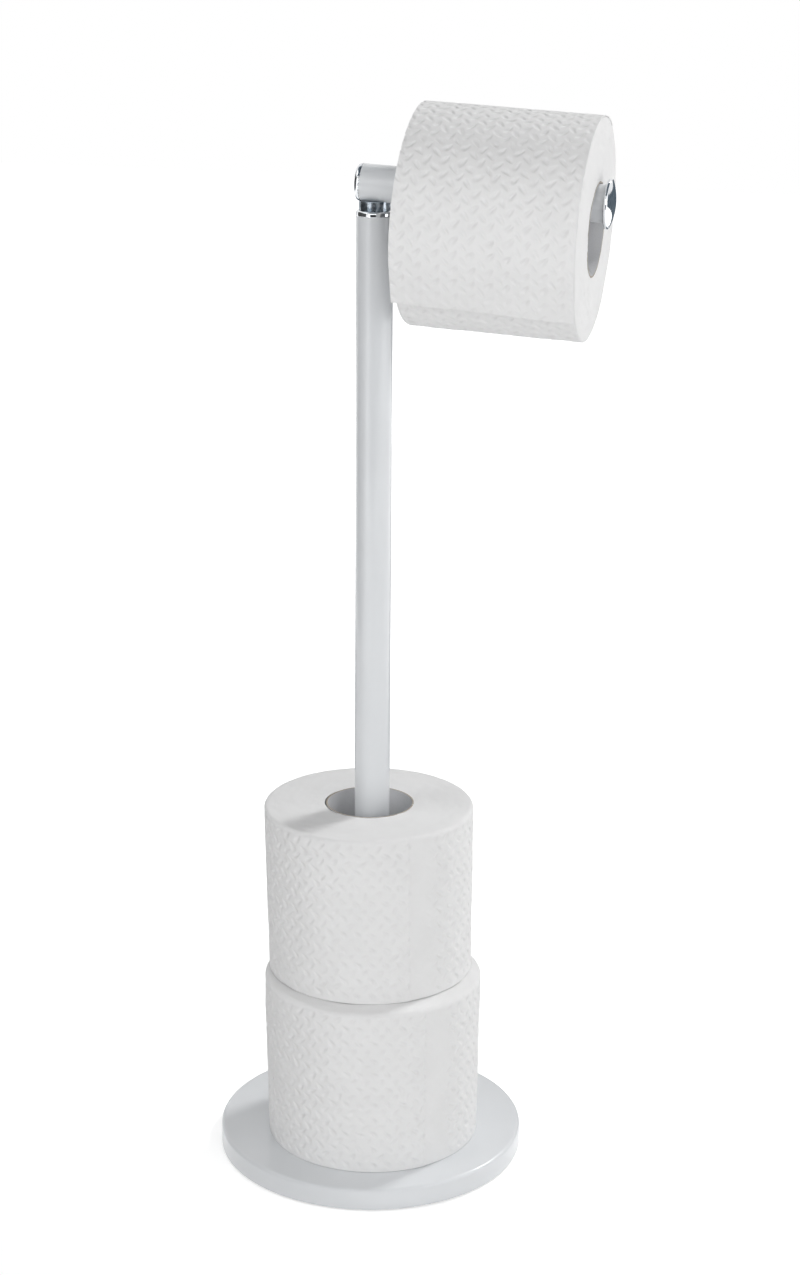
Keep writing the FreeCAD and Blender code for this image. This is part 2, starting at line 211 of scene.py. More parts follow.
# %% White lacquer
LACQUER_LIGHT = (0.80, 0.82, 0.84, 1)
LACQUER_SHADE = (0.76, 0.78, 0.80, 1)
LACQUER_CONSTANTS = {"IOR": 1.5, "Coat Roughness": 0.06, "Coat IOR": 1.5}
LACQUER_ROUGHNESS = 0.26
LACQUER_COAT = 0.35
PEEL_SCALE = 420.0
PEEL_DEPTH = 0.0035
DRIFT_SCALE = 16.0
DRIFT_ENDS = (0.3, 0.7)
DRIFT_ROUGHNESS = 0.10
DRIFT_COAT = 0.15

lacquer = Finish("white_lacquer", LACQUER_CONSTANTS)
lacquer_place = lacquer.place()
peel = lacquer.noise(lacquer_place, PEEL_SCALE, detail=1.0)
drift = lacquer.noise(lacquer_place, DRIFT_SCALE, detail=3.0)
lacquer.shade({
    "Base Color": lacquer.blend(drift.step(*DRIFT_ENDS), LACQUER_SHADE, LACQUER_LIGHT),
    "Roughness": LACQUER_ROUGHNESS + drift * DRIFT_ROUGHNESS,
    "Coat Weight": LACQUER_COAT + drift * DRIFT_COAT,
    "Normal": lacquer.bump(peel * PEEL_DEPTH),
})
lacquer.tell()

# %% [markdown]
# ## Chrome
# Collar, neck, end cap and button are polished metal with chrome plating. Chrome has hardly a colour of
# its own and is nothing but its surroundings, so most of its look is made by the studio further down.
# What the surface adds is a very low roughness with faint polishing marks and the odd soft wipe mark.
# The neck under the arm is rougher and mottled, and its darker, bluish colour is a painted reflection.

# %% Chrome
CHROME_TINT = (0.80, 0.82, 0.84, 1)
CHROME_WIPED = (0.70, 0.72, 0.745, 1)
CHROME_ROUGHNESS = 0.05
WIPE_SCALE = 130.0
WIPE_TINT_ENDS = (0.35, 0.75)
WIPE_GLOSS_ENDS = (0.4, 0.8)
WIPE_ROUGHNESS = 0.07
POLISH_SCALE = 2600.0
POLISH_DEPTH = 0.0006

chrome = Finish("chrome", {"Metallic": 1.0})
chrome_place = chrome.place()
wipes = chrome.noise(chrome_place, WIPE_SCALE, detail=3.0)
polish = chrome.noise(chrome_place, POLISH_SCALE, detail=1.0)
chrome.shade({
    "Base Color": chrome.blend(wipes.step(*WIPE_TINT_ENDS), CHROME_TINT, CHROME_WIPED),
    "Roughness": CHROME_ROUGHNESS + wipes.step(*WIPE_GLOSS_ENDS) * WIPE_ROUGHNESS,
    "Normal": chrome.bump(polish * POLISH_DEPTH),
})
chrome.tell()

# %% The neck's chrome, with a painted dark reflection
NECK_PAINTED_REFLECTION_LIGHT = (0.50, 0.55, 0.60, 1)
NECK_PAINTED_REFLECTION_DARK = (0.16, 0.20, 0.24, 1)
DULL_ROUGHNESS = 0.14
MOTTLE_SCALE = 330.0
MOTTLE_GRAIN = 0.65
MOTTLE_ENDS = (0.35, 0.65)
MOTTLE_ROUGHNESS = 0.14
MOTTLE_DEPTH = 0.06

chrome_with_painted_reflection = Finish("chrome_with_painted_reflection", {"Metallic": 1.0})
mottle = chrome_with_painted_reflection.noise(chrome_with_painted_reflection.place(), MOTTLE_SCALE, detail=3.0, roughness=MOTTLE_GRAIN)
chrome_with_painted_reflection.shade({
    # Painted reflection: a dark, bluish, mottled base colour stands in for dark surroundings seen in the
    # chrome
    "Base Color": chrome_with_painted_reflection.blend(mottle.step(*MOTTLE_ENDS), NECK_PAINTED_REFLECTION_DARK, NECK_PAINTED_REFLECTION_LIGHT),
    "Roughness": DULL_ROUGHNESS + mottle * MOTTLE_ROUGHNESS,
    "Normal": chrome_with_painted_reflection.bump(mottle * MOTTLE_DEPTH),
})
chrome_with_painted_reflection.tell()

# %% [markdown]
# ## Embossed tissue
# Household tissue is pressed between a patterned steel roller and a rubber one, so its face carries rows
# of short dents that slant to and fro, with soft pillows between them. An image could be tiled over it,
# but a formula is sharper and has no seams. It takes the length along the sheet and the height
# across it, both in millimetres, folds them into one cell of the pattern, and gives the depth of a dent
# there. Only arithmetic is used, so the same function moves the mesh points and feeds the shader's bump.

# %% The embossing formula
CELL_ALONG = 7.7
CELL_ACROSS = 9.0
DENT_HALF_LENGTH = 3.7
DENT_HALF_WIDTH = 1.7
DENT_TAPER = 0.12
DENT_SLANT = math.radians(48.0)
CROSS_SHARE = 0.8


def dents(along, across, slant):
    """The depth share of one slanting dent in the middle of each cell."""
    x = ((along / CELL_ALONG) % 1.0 - 0.5) * CELL_ALONG
    y = ((across / CELL_ACROSS) % 1.0 - 0.5) * CELL_ACROSS
    length = y * math.cos(slant) + x * math.sin(slant)
    width = x * math.cos(slant) - y * math.sin(slant)
    width = width * (1 + length * DENT_TAPER)
    spread = (length / DENT_HALF_LENGTH) ** 2 + (width / DENT_HALF_WIDTH) ** 2
    return (1 - spread) ** 2 * (spread < 1)


def pressed(along, across):
    """How deep the embossing is at a point of the sheet, from 0 on a pillow to 1 in a dent."""
    other = dents(along + CELL_ALONG / 2, across + CELL_ACROSS / 2, DENT_SLANT)
    return dents(along, across, -DENT_SLANT) + other * CROSS_SHARE


# %% Tissue
TISSUE_WHITE = (0.90, 0.90, 0.90, 1)
# The darker tissue colour, for random clouds, rings on the ends, and painted shade in the dents
TISSUE_TONE_AND_PIT_SHADE = (0.80, 0.80, 0.80, 1)
TISSUE_CONSTANTS = {
    "Roughness": 0.95, "Specular IOR Level": 0.15, "Sheen Weight": 0.05, "Sheen Roughness": 0.6,
}
EMBOSS_DEPTH = 0.54
BUMP_SHARE = 0.6
PAINTED_PIT_SHADE_SHARE = 0.05
CREPE_SCALE = 700.0
CREPE_DEPTH = 0.06
CLOUD_SCALE = 60.0
CLOUD_ENDS = (0.35, 0.8)
CLOUD_SHARE = 0.2
LAYER_DRIFT = 6.0
LAYER_SCALE = 1400.0
LAYER_ENDS = (0.45, 0.8)
LAYER_SHARE = 0.1
LAYER_DEPTH = 0.10


def tissue_finish():
    """Matte paper: dents with painted shade and crepe on the wall, fine layers on the roll's ends."""
    made = Finish("tissue", TISSUE_CONSTANTS)
    along, across, relief = made.surface_map()
    wall = relief.at_least(0.0)
    end = (-relief).at_least(0.0)
    press = pressed(along / MM, across / MM) * wall
    place = made.place()
    crepe = made.noise(place, CREPE_SCALE, detail=1.0)
    cloud = made.noise(place, CLOUD_SCALE)
    rings = {0: along * LAYER_DRIFT, 1: across * LAYER_SCALE, 2: 0.0}
    layers = made.noise(made.node("ShaderNodeCombineXYZ", {}, rings), 1.0)
    # Painted shade: the dents are coloured a little darker, while the clouds vary the paper's own tone
    shade = press * PAINTED_PIT_SHADE_SHARE + cloud.step(*CLOUD_ENDS) * CLOUD_SHARE
    shade = shade + layers.step(*LAYER_ENDS) * end * LAYER_SHARE
    relief_mm = crepe * CREPE_DEPTH - press * EMBOSS_DEPTH * BUMP_SHARE + layers * end * LAYER_DEPTH
    made.shade({
        "Base Color": made.blend(shade, TISSUE_WHITE, TISSUE_TONE_AND_PIT_SHADE),
        "Normal": made.bump(relief_mm),
    })
    return made


tissue = tissue_finish()
tissue.tell()

# %% [markdown]
# ## Core board
# The cardboard core is wound from strips of grey recycled board, so a slanting butt joint runs round it
# and the cut ends show a browner edge. The joint is a thin line in the map of the tube: height against
# the length round it. Fine dark and pale fibres are noise.

# %% Core board
BOARD_GREY = (0.70, 0.705, 0.72, 1)
BOARD_FIBRE = (0.63, 0.63, 0.64, 1)
BOARD_EDGE = (0.45, 0.39, 0.33, 1)
BOARD_CONSTANTS = {"Roughness": 0.85, "Specular IOR Level": 0.25}
STRIP_WIDTH = 62.0
STRIP_SLOPE = 0.55
JOINT_WIDTH_SHARE = 0.012
JOINT_TONE_SHARE = 0.5
JOINT_DEPTH = 0.15
FIBRE_SCALE = 1500.0
FIBRE_GRAIN = 0.7
FIBRE_ENDS = (0.45, 0.75)
FIBRE_TONE_SHARE = 0.7
FIBRE_DEPTH = 0.05

board = Finish("core_board", BOARD_CONSTANTS)
board_along, board_across, board_edge = board.surface_map()
strip = ((board_across + board_along * STRIP_SLOPE) / (STRIP_WIDTH * MM)) % 1.0
joint = 1 - abs(strip - 0.5).step(0.0, JOINT_WIDTH_SHARE)
fibre = board.noise(board.place(), FIBRE_SCALE, detail=3.0, roughness=FIBRE_GRAIN)
board_tone = fibre.step(*FIBRE_ENDS) * FIBRE_TONE_SHARE + joint * JOINT_TONE_SHARE
board_face = board.blend(board_tone, BOARD_GREY, BOARD_FIBRE)
board.shade({
    "Base Color": board.blend(board_edge, board_face, BOARD_EDGE),
    "Normal": board.bump(fibre * FIBRE_DEPTH - joint * JOINT_DEPTH),
})
board.tell()

# %% [markdown]
# ## Finishes inside and below
# The bolts, washers and threaded plug are zinc-plated steel, the ballast is dark bare iron, and the pad
# under it is black rubber. None of them shows from the front, but a reusable part is looked at from
# below and taken apart, so each gets the grain of its own material.

# %% Zinc, iron and rubber
GRAIN_DETAIL = 4.0
GRAIN_SHARPNESS = 0.65
GRAIN_ROUGHNESS = 0.2
TONE_SCALE_SHARE = 0.12
TONE_ENDS = (0.3, 0.7)


def grained(name, light, dark, scale, grain_mm, roughness, metallic):
    """A plain technical surface with a cloudy tone and a fine grain."""
    made = Finish(name, {"Metallic": metallic})
    place = made.place()
    grain = made.noise(place, scale, GRAIN_DETAIL, GRAIN_SHARPNESS)
    tone = made.noise(place, scale * TONE_SCALE_SHARE)
    made.shade({
        "Base Color": made.blend(tone.step(*TONE_ENDS), dark, light),
        "Roughness": roughness + grain * GRAIN_ROUGHNESS,
        "Normal": made.bump(grain * grain_mm),
    })
    return made


zinc = grained(
    "zinc_steel", light=(0.66, 0.67, 0.69, 1), dark=(0.55, 0.56, 0.57, 1),
    scale=900.0, grain_mm=0.01, roughness=0.28, metallic=1.0,
)
iron = grained(
    "ballast_iron", light=(0.23, 0.23, 0.24, 1), dark=(0.15, 0.15, 0.16, 1),
    scale=420.0, grain_mm=0.25, roughness=0.6, metallic=0.6,
)
rubber = grained(
    "foot_rubber", light=(0.12, 0.12, 0.12, 1), dark=(0.08, 0.08, 0.08, 1),
    scale=700.0, grain_mm=0.08, roughness=0.75, metallic=0.0,
)
HIDDEN = {
    "base_weight": iron,
    "base_pad": rubber,
    "base_washer": zinc,
    "base_bolt": zinc,
    "post_foot_insert": zinc,
    "swivel_bolt": zinc,
    "swivel_washer": zinc,
}
for name, finish in HIDDEN.items():
    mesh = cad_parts[name].data
    mesh.materials.clear()
    mesh.materials.append(finish.material)
print("kept CAD nodes:", ", ".join(HIDDEN))

# %% [markdown]
# ## Turned pieces
# Most of the stand is round: dish, tubes, collar, cap, button. Each could be a stack of primitives, but a
# turner thinks in one outline that spins about an axis, and so does this step. An outline is a list of
# corners, each with its own rounding. Next to each rounding a support point keeps the smooth shading
# from bleeding over the flat beside it, which is what makes a bent edge look crisp and not puffy.

# %% Rounding an outline
ARC_STEPS = 8
SUPPORT_SHARE = 0.5


def bent(corner, before, after, bend):
    """The points that round a corner off, with a support point on each side of the bend."""
    half = before.angle(after) / 2
    cut = bend / math.tan(half)
    centre = corner + (before + after).normalized() * bend / math.sin(half)
    first = corner + before * cut - centre
    last = corner + after * cut - centre
    sweep = first.angle_signed(last)
    turns = [Matrix.Rotation(-sweep * stop / ARC_STEPS, 2) for stop in range(ARC_STEPS + 1)]
    arc = [centre + turn @ first for turn in turns]
    support = bend * SUPPORT_SHARE
    return [arc[0] + before * support, *arc, arc[-1] + after * support]


def outline(corners):
    """Points of an outline of (radius, height, rounding) corners, in metres."""
    flat = [Vector((radius, height)) * MM for radius, height, _ in corners]
    points = []
    for number, corner in enumerate(flat):
        bend = corners[number][2] * MM
        if bend == 0:
            points.append(corner)
            continue
        before = (flat[number - 1] - corner).normalized()
        after = (flat[(number + 1) % len(flat)] - corner).normalized()
        points += bent(corner, before, after, bend)
    return np.array(points)


# %% From grids of points to a mesh
CRISP_ANGLE = math.radians(50.0)
JOIN_REACH = 1e-7


def grid_faces(rows, columns, wrap_rows, wrap_columns, first=0):
    """Quads over a grid of points, kept row by row."""
    row, column = np.meshgrid(
        np.arange(rows if wrap_rows else rows - 1),
        np.arange(columns if wrap_columns else columns - 1),
        indexing="ij",
    )
    below = row * columns
    above = (row + 1) % rows * columns
    right = (column + 1) % columns
    quads = np.stack([below + column, below + right, above + right, above + column], axis=-1)
    return quads.reshape(-1, 4) + first


def solid_mesh(name, points, faces, surface_map):
    """A smooth mesh that keeps its surface map, with doubled points joined and normals outwards."""
    mesh = bpy.data.meshes.new(name)
    mesh.from_pydata(points.tolist(), [], faces.tolist())
    kept = mesh.attributes.new("surface_map", "FLOAT_VECTOR", "POINT")
    kept.data.foreach_set("vector", np.asarray(surface_map, np.float32).ravel())
    work = bmesh.new()
    work.from_mesh(mesh)
    bmesh.ops.remove_doubles(work, verts=work.verts, dist=JOIN_REACH)
    bmesh.ops.recalc_face_normals(work, faces=work.faces)
    work.to_mesh(mesh)
    work.free()
    mesh.shade_smooth()
    mesh.set_sharp_from_angle(angle=CRISP_ANGLE)
    return mesh


# %% Placing and showing a piece
def placed(points, place):
    """Points moved from a piece's own axes to the frame."""
    matrix = np.array(place)
    return points @ matrix[:3, :3].T + matrix[:3, 3]


def show(mesh, body, finish, slot, *stands_for):
    """Puts a mesh in the scene as a piece that rides on a body and stands for CAD nodes."""
    piece = bpy.data.objects.new(mesh.name, mesh)
    scene.collection.objects.link(piece)
    mesh.materials.append(finish.material)
    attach(piece, body)
    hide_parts(*stands_for)
    print(f"{piece.name}: {len(mesh.vertices)} points, rides on {body}")
    return piece


# %% Spinning an outline
TURN_COLUMNS = 144
BASE_COLUMNS = 288
CORE_COLUMNS = 192


def turned(name, profile, place, columns=TURN_COLUMNS, closed=True):
    """A mesh of revolution about its own Z axis. Its map holds length round, height and radius."""
    angle = np.linspace(0, 2 * math.pi, columns, endpoint=False)
    radius, height = profile[:, 0][:, None], profile[:, 1][:, None]
    level = height + 0 * angle
    points = np.stack([radius * np.cos(angle), radius * np.sin(angle), level], axis=-1)
    around = np.stack([radius * angle, level, radius + 0 * angle], axis=-1)
    faces = grid_faces(len(profile), columns, closed, True)
    return solid_mesh(name, placed(points.reshape(-1, 3), place), faces, around.reshape(-1, 3))


# %% [markdown]
# ## Base and post
# The base is a dish pressed from sheet steel, which covers the ballast: a flat top, a soft shoulder and
# a short wall that ends just above the floor. The post is a plain tube with its cut edge broken. The
# sizes are the CAD model's, and the shoulder that CAD draws in a few flats becomes a true bend here.

# %% Base dish
BASE_RADIUS = 84.5
BASE_TOP = 13.0
BASE_RIM = 1.0
DISH_WALL = 1.2
DISH_BEND = 2.0
DISH_INNER_BEND = DISH_BEND / 2
DISH_RIM_BEND = DISH_WALL / 3
DISH_HOLE = 4.3
UPRIGHT = Matrix.Identity(4)

dish = outline([
    (DISH_HOLE, BASE_TOP, 0),
    (BASE_RADIUS, BASE_TOP, DISH_BEND),
    (BASE_RADIUS, BASE_RIM, DISH_RIM_BEND),
    (BASE_RADIUS - DISH_WALL, BASE_RIM, DISH_RIM_BEND),
    (BASE_RADIUS - DISH_WALL, BASE_TOP - DISH_WALL, DISH_INNER_BEND),
    (DISH_HOLE, BASE_TOP - DISH_WALL, 0),
])
show(turned("base_dish", dish, UPRIGHT, BASE_COLUMNS), "stand", lacquer, "white_lacquer", "base_cover")

# %% Post
TUBE_RADIUS = 9.5
TUBE_BORE = 8.5
TUBE_EDGE = 0.25
POST_TOP = 524.0


def tube(low, high):
    """The outline of a lacquered tube with broken edges."""
    return outline([
        (TUBE_BORE, low, 0),
        (TUBE_RADIUS, low, TUBE_EDGE),
        (TUBE_RADIUS, high, TUBE_EDGE),
        (TUBE_BORE, high, 0),
    ])


show(turned("post", tube(BASE_TOP, POST_TOP), UPRIGHT), "stand", lacquer, "white_lacquer", "post_tube")

# %% [markdown]
# ## Collar and neck
# A chromed plug closes the post, with a rounded flange as wide as the tube. On it turns a short chromed
# neck, hollowed on top to seat the arm. The neck starts as one more turned outline; then each point of
# its upper rim comes down to the arm's underside where that is lower, which is how a saddle is milled.

# %% Collar
COLLAR_TOP = 526.8
COLLAR_FOOT = 510.0
COLLAR_BEND = 1.3
COLLAR_FOOT_BEND = 0.3
PLUG_RADIUS = 8.45
BOLT_BORE = 3.05

collar = outline([
    (BOLT_BORE, COLLAR_FOOT, 0),
    (PLUG_RADIUS, COLLAR_FOOT, 0),
    (PLUG_RADIUS, POST_TOP, 0),
    (TUBE_RADIUS, POST_TOP, COLLAR_FOOT_BEND),
    (TUBE_RADIUS, COLLAR_TOP, COLLAR_BEND),
    (BOLT_BORE, COLLAR_TOP, 0),
])
show(turned("collar", collar, UPRIGHT), "stand", chrome, "chrome", "post_collar")

# %% Neck with its saddle
TURNING_GAP = 0.05
NECK_RADIUS = 8.1
NECK_TOP = 531.7
NECK_FOOT = COLLAR_TOP + TURNING_GAP
NECK_EDGE = 0.2
NECK_RING_SHARES = (0.8, 0.6)
ARM_HEIGHT = 540.3
ARM_SAG = math.radians(2.7)
SEAT_RADIUS = 9.55


def milled(mesh):
    """Lowers the points of a neck that would stand inside the arm."""
    for point in mesh.vertices:
        across = min(abs(point.co.y), SEAT_RADIUS * MM)
        seat = math.sqrt((SEAT_RADIUS * MM) ** 2 - across ** 2) / math.cos(ARM_SAG)
        underside = ARM_HEIGHT * MM - point.co.x * math.tan(ARM_SAG) - seat
        point.co.z = min(point.co.z, max(underside, NECK_FOOT * MM))
    return mesh


neck = outline([
    (BOLT_BORE, NECK_FOOT, 0),
    (NECK_RADIUS, NECK_FOOT, 0),
    (NECK_RADIUS, NECK_TOP, NECK_EDGE),
    *[(NECK_RADIUS * share, NECK_TOP, 0) for share in NECK_RING_SHARES],
    (BOLT_BORE, NECK_TOP, 0),
])
show(milled(turned("neck", neck, UPRIGHT)), "arm", chrome_with_painted_reflection, "chrome", "saddle_neck")

# %% [markdown]
# ## The arm
# The arm is the same tube as the post, laid across its top with a slight sag towards the free end. Its
# rear is closed by a rounded chrome cap and its front by a wide, shallow, domed button, which keeps the
# roll from sliding off. All three spin about one slanting axis, which the matrix below describes.

# %% Arm tube
ARM_BACK = -6.4
ARM_REACH = 119.6


def along_arm(distance, drop):
    """Own axes of a piece on the arm: X down, Z along it, a distance from the post and a drop below."""
    sine, cosine = math.sin(ARM_SAG), math.cos(ARM_SAG)
    down, along = Vector((-sine, 0, -cosine)), Vector((cosine, 0, -sine))
    turn = Matrix((down, Vector((0, 1, 0)), along)).transposed().to_4x4()
    place = Vector((0, 0, ARM_HEIGHT)) + along * distance + down * drop
    return Matrix.Translation(place * MM) @ turn


ARM_AXES = along_arm(0, 0)
show(turned("arm", tube(ARM_BACK, ARM_REACH), ARM_AXES), "arm", lacquer, "white_lacquer", "arm_tube")

# %% Rear cap
CAP_END = -9.0
CAP_BEND = 2.0
CAP_EDGE = 0.2
CAP_SPIGOT = 18.0

cap = outline([
    (0, CAP_END, 0),
    (TUBE_RADIUS, CAP_END, CAP_BEND),
    (TUBE_RADIUS, ARM_BACK, CAP_EDGE),
    (PLUG_RADIUS, ARM_BACK, 0),
    (PLUG_RADIUS, ARM_BACK + CAP_SPIGOT, 0),
    (0, ARM_BACK + CAP_SPIGOT, 0),
])
show(turned("rear_cap", cap, ARM_AXES, closed=False), "arm", chrome, "chrome", "arm_rear_cap")

# %% Button
BUTTON_RADIUS = 12.5
BUTTON_RIM = 1.8
BUTTON_EDGE = 0.5
BUTTON_DOME = 2.6
BUTTON_SPIGOT = 14.0
BUTTON_STEPS = 24
DOME_START_SHARE = 0.9


def dome_height(share):
    """How far along the arm the dome is, at a share of the button's radius."""
    return ARM_REACH + BUTTON_RIM + BUTTON_DOME * (1 - share ** 2)


dome_shares = np.linspace(1, 0, BUTTON_STEPS)
dome = np.stack([dome_shares * BUTTON_RADIUS, dome_height(dome_shares)], axis=-1) * MM
stem = outline([
    (0, ARM_REACH - BUTTON_SPIGOT, 0),
    (PLUG_RADIUS, ARM_REACH - BUTTON_SPIGOT, 0),
    (PLUG_RADIUS, ARM_REACH, 0),
    (BUTTON_RADIUS, ARM_REACH, BUTTON_EDGE),
    (BUTTON_RADIUS, ARM_REACH + BUTTON_RIM, BUTTON_EDGE),
    (BUTTON_RADIUS * DOME_START_SHARE, dome_height(DOME_START_SHARE), 0),
])
button = np.concatenate([stem[:-1], dome[dome_shares < DOME_START_SHARE]])
show(turned("button", button, ARM_AXES, closed=False), "arm", chrome, "chrome", "arm_button")

# %% [markdown]
# ## Wound rolls
# A roll is one long sheet wound on a core. It is nearly a cylinder, but what makes it look like paper is
# what a cylinder lacks: the radius grows by one sheet in a turn and drops at the seam, the rims are soft
# because the outer layers slump, the ends show the edges of the layers, and the whole is never quite
# round. A lathe can't do that, so a roll is a grid: columns round it, rows from the core's edge over one
# end, along the wall and back over the other end. Seeded sums of sines give the slight unevenness.

# %% Uneven surfaces
WAVES = 14
WAVE_STRETCH = (0.6, 1.5)


def unevenness(places, wavelength, seed):
    """A smooth random surface between about -1 and 1, the same on every run."""
    chance = np.random.default_rng(seed)
    total = np.zeros(places.shape[:-1])
    for _ in range(WAVES):
        way = chance.normal(size=places.shape[-1])
        way *= chance.uniform(*WAVE_STRETCH) / np.linalg.norm(way)
        total += np.sin(places @ way * (2 * math.pi / wavelength) + chance.uniform(0, 2 * math.pi))
    return total / math.sqrt(WAVES)


def swells(places, sizes, seed):
    """Unevenness laid on unevenness, from pairs of a height and a wavelength."""
    return sum(
        height * unevenness(places, wavelength, seed + number)
        for number, (height, wavelength) in enumerate(sizes)
    )


def smooth_share(value, low, high):
    """0 below low, 1 above high, and a smooth S between them."""
    share = np.clip((value - low) / (high - low), 0, 1)
    return share * share * (3 - 2 * share)


# %% The rows and columns of a roll
CORE_RADIUS = 23.2
CORE_WALL = 0.8
PAPER_START = 24.05
SHEET = 0.5
POINT_STEP = 0.7
FINE_STEP = 0.18
FINE_REACH = 2.6
END_ROWS = 26
END_CROWDING = 0.85
RIM_ROWS = 7


def roll_rows(width, low_bend, high_bend):
    """Each row of a roll: share of the way out over an end, angle round a rim, its bend and its height."""
    out = np.linspace(0, 1, END_ROWS) ** END_CROWDING
    sweep = np.linspace(0, math.pi / 2, RIM_ROWS)[1:]
    wall = np.arange(low_bend + POINT_STEP, width - high_bend - POINT_STEP / 2, POINT_STEP)
    low = [(share, 0, low_bend, 0) for share in out] + [(1, angle, low_bend, 0) for angle in sweep]
    middle = [(1, math.pi / 2, 0, height) for height in wall]
    high = [(1, angle, high_bend, width) for angle in sweep[::-1]]
    high += [(share, 0, high_bend, width) for share in out[::-1]]
    return np.array(low + middle + high).T[..., None]


def roll_columns(length):
    """Distances along the outermost turn from the seam, closer together on both sides of it."""
    fine = np.arange(0, FINE_REACH, FINE_STEP)
    coarse = np.linspace(FINE_REACH, length - FINE_REACH, int(length / POINT_STEP))
    return np.concatenate([fine, coarse, (length - fine)[::-1]])


# %% The form of a roll
OUT_OF_ROUND = 0.2
ROUND_LENGTH = 150.0
SAG_POWER = 6
RIM_POWER = 3
LAYER_TURN = 14.0
LAYER_SWELLS = ((0.14, 9.0), (0.09, 2.6))
SLUMP = 0.25
SLUMP_REACH = 9.0
HIGH_SETBACK = 0.2
LOW_SETBACK = 0.15
LOW_SWELL_SHARE = 0.5


def wound_outside(shape, turn, angle, height, seed):
    """The outer radius: it grows by a sheet up to the seam, flares, sags and isn't quite round."""
    grown = np.where(turn < math.pi, 0, SHEET * (0.5 + 0.5 * np.cos(turn)))
    around = np.stack([np.cos(angle), np.sin(angle)], axis=-1) * shape["radius"]
    outside = shape["radius"] + grown + OUT_OF_ROUND * unevenness(around, ROUND_LENGTH, seed)
    outside = outside + shape["flare"] * (height / shape["width"] - 0.5)
    return outside + shape["sag"] * np.cos(angle / 2) ** SAG_POWER


def layer_edges(shape, radius, angle, upper, seed):
    """How far the edges of the layers stand back from a roll's end, along its axis."""
    sides = (LAYER_TURN * np.cos(angle) + 0 * radius, LAYER_TURN * np.sin(angle) + 0 * radius)
    layers = swells(np.stack([radius, *sides], axis=-1), LAYER_SWELLS, seed)
    slump = SLUMP * smooth_share(radius, shape["radius"] - SLUMP_REACH, shape["radius"])
    return np.where(upper, -(HIGH_SETBACK + slump + layers), LOW_SETBACK + LOW_SWELL_SHARE * layers)


def roll_form(shape, turn, angle, seed):
    """Radius and height of each point, and its share of the wall and of an end."""
    share, sweep, bend, level = roll_rows(shape["width"], shape["low_bend"], shape["high_bend"])
    upper = level > shape["width"] / 2
    on_wall = np.sin(sweep) ** RIM_POWER + 0 * turn
    on_end = np.cos(sweep) ** RIM_POWER + 0 * turn
    rise = bend * (1 - np.cos(sweep))
    height = level + np.where(upper, -rise, rise) + 0 * turn
    outside = wound_outside(shape, turn, angle, height, seed)
    shoulder = outside - np.where(bend == 0, shape["high_bend"], bend)
    radius = PAPER_START + share * (shoulder - PAPER_START)
    radius = radius + np.where(bend == 0, outside - shoulder, bend * np.sin(sweep))
    height = height + on_end * layer_edges(shape, radius, angle, upper, seed + 1)
    return radius, height, on_wall, on_end


# %% The softness and embossing of a roll
EMBOSS_WANDER = 0.45
WANDER_LENGTH = 17.0
PAPER_SWELLS = ((0.14, 34.0), (0.05, 9.0))
SMOOTH_TAIL = 19.0
TAIL_PRESS_SHARE = 0.25
SMOOTH_RIM = 3.5
CRIMP_BACK = 1.15
CRIMP_HALF_WIDTH = 0.28
CRIMP_DEPTH = 0.16
TAIL_CURL = 0.22
CURL_SHARE = 0.7
COVERED_DROP = 0.3


def wandered(along, height, seed):
    """Places on the sheet, shifted a little, because soft paper never keeps the pattern straight."""
    flat = np.stack(np.broadcast_arrays(along, height), axis=-1)
    aside = EMBOSS_WANDER * unevenness(flat, WANDER_LENGTH, seed)
    upward = EMBOSS_WANDER * unevenness(flat, WANDER_LENGTH, seed + 1)
    return along + aside, height + upward


def press_share(shape, along, height):
    """How strongly a wall is embossed: less on the glued tail, and not at all at the rims."""
    tail = smooth_share(along, SMOOTH_TAIL / 2, SMOOTH_TAIL)
    inside = np.minimum(height, shape["width"] - height)
    pressing = TAIL_PRESS_SHARE + (1 - TAIL_PRESS_SHARE) * tail
    return shape["emboss_share"] * pressing * smooth_share(inside, 0, SMOOTH_RIM)


def seam_edge(left):
    """The end of the outermost sheet: a crimped glue line, and a curl at the very edge."""
    crimp = CRIMP_DEPTH * np.exp(-((left - CRIMP_BACK) / CRIMP_HALF_WIDTH) ** 2)
    return TAIL_CURL * smooth_share(-left, -CRIMP_BACK * CURL_SHARE, 0) - crimp


# %% The wound paper
WALL_MAP_SHARE = 0.3


def roll_mesh(name, points, surface_map, place):
    """Joins the grid of a roll, and closes the step where its outermost sheet ends."""
    rows, columns = points.shape[:2]
    faces = grid_faces(rows, columns, False, False)
    step_faces = grid_faces(rows, 2, False, False, rows * columns)
    every = np.concatenate([points.reshape(-1, 3), points[:, [-1, 0]].reshape(-1, 3)]) * MM
    maps = np.concatenate([surface_map.reshape(-1, 3), surface_map[:, [-1, -1]].reshape(-1, 3)])
    return solid_mesh(name, placed(every, place), np.concatenate([faces, step_faces]), maps)


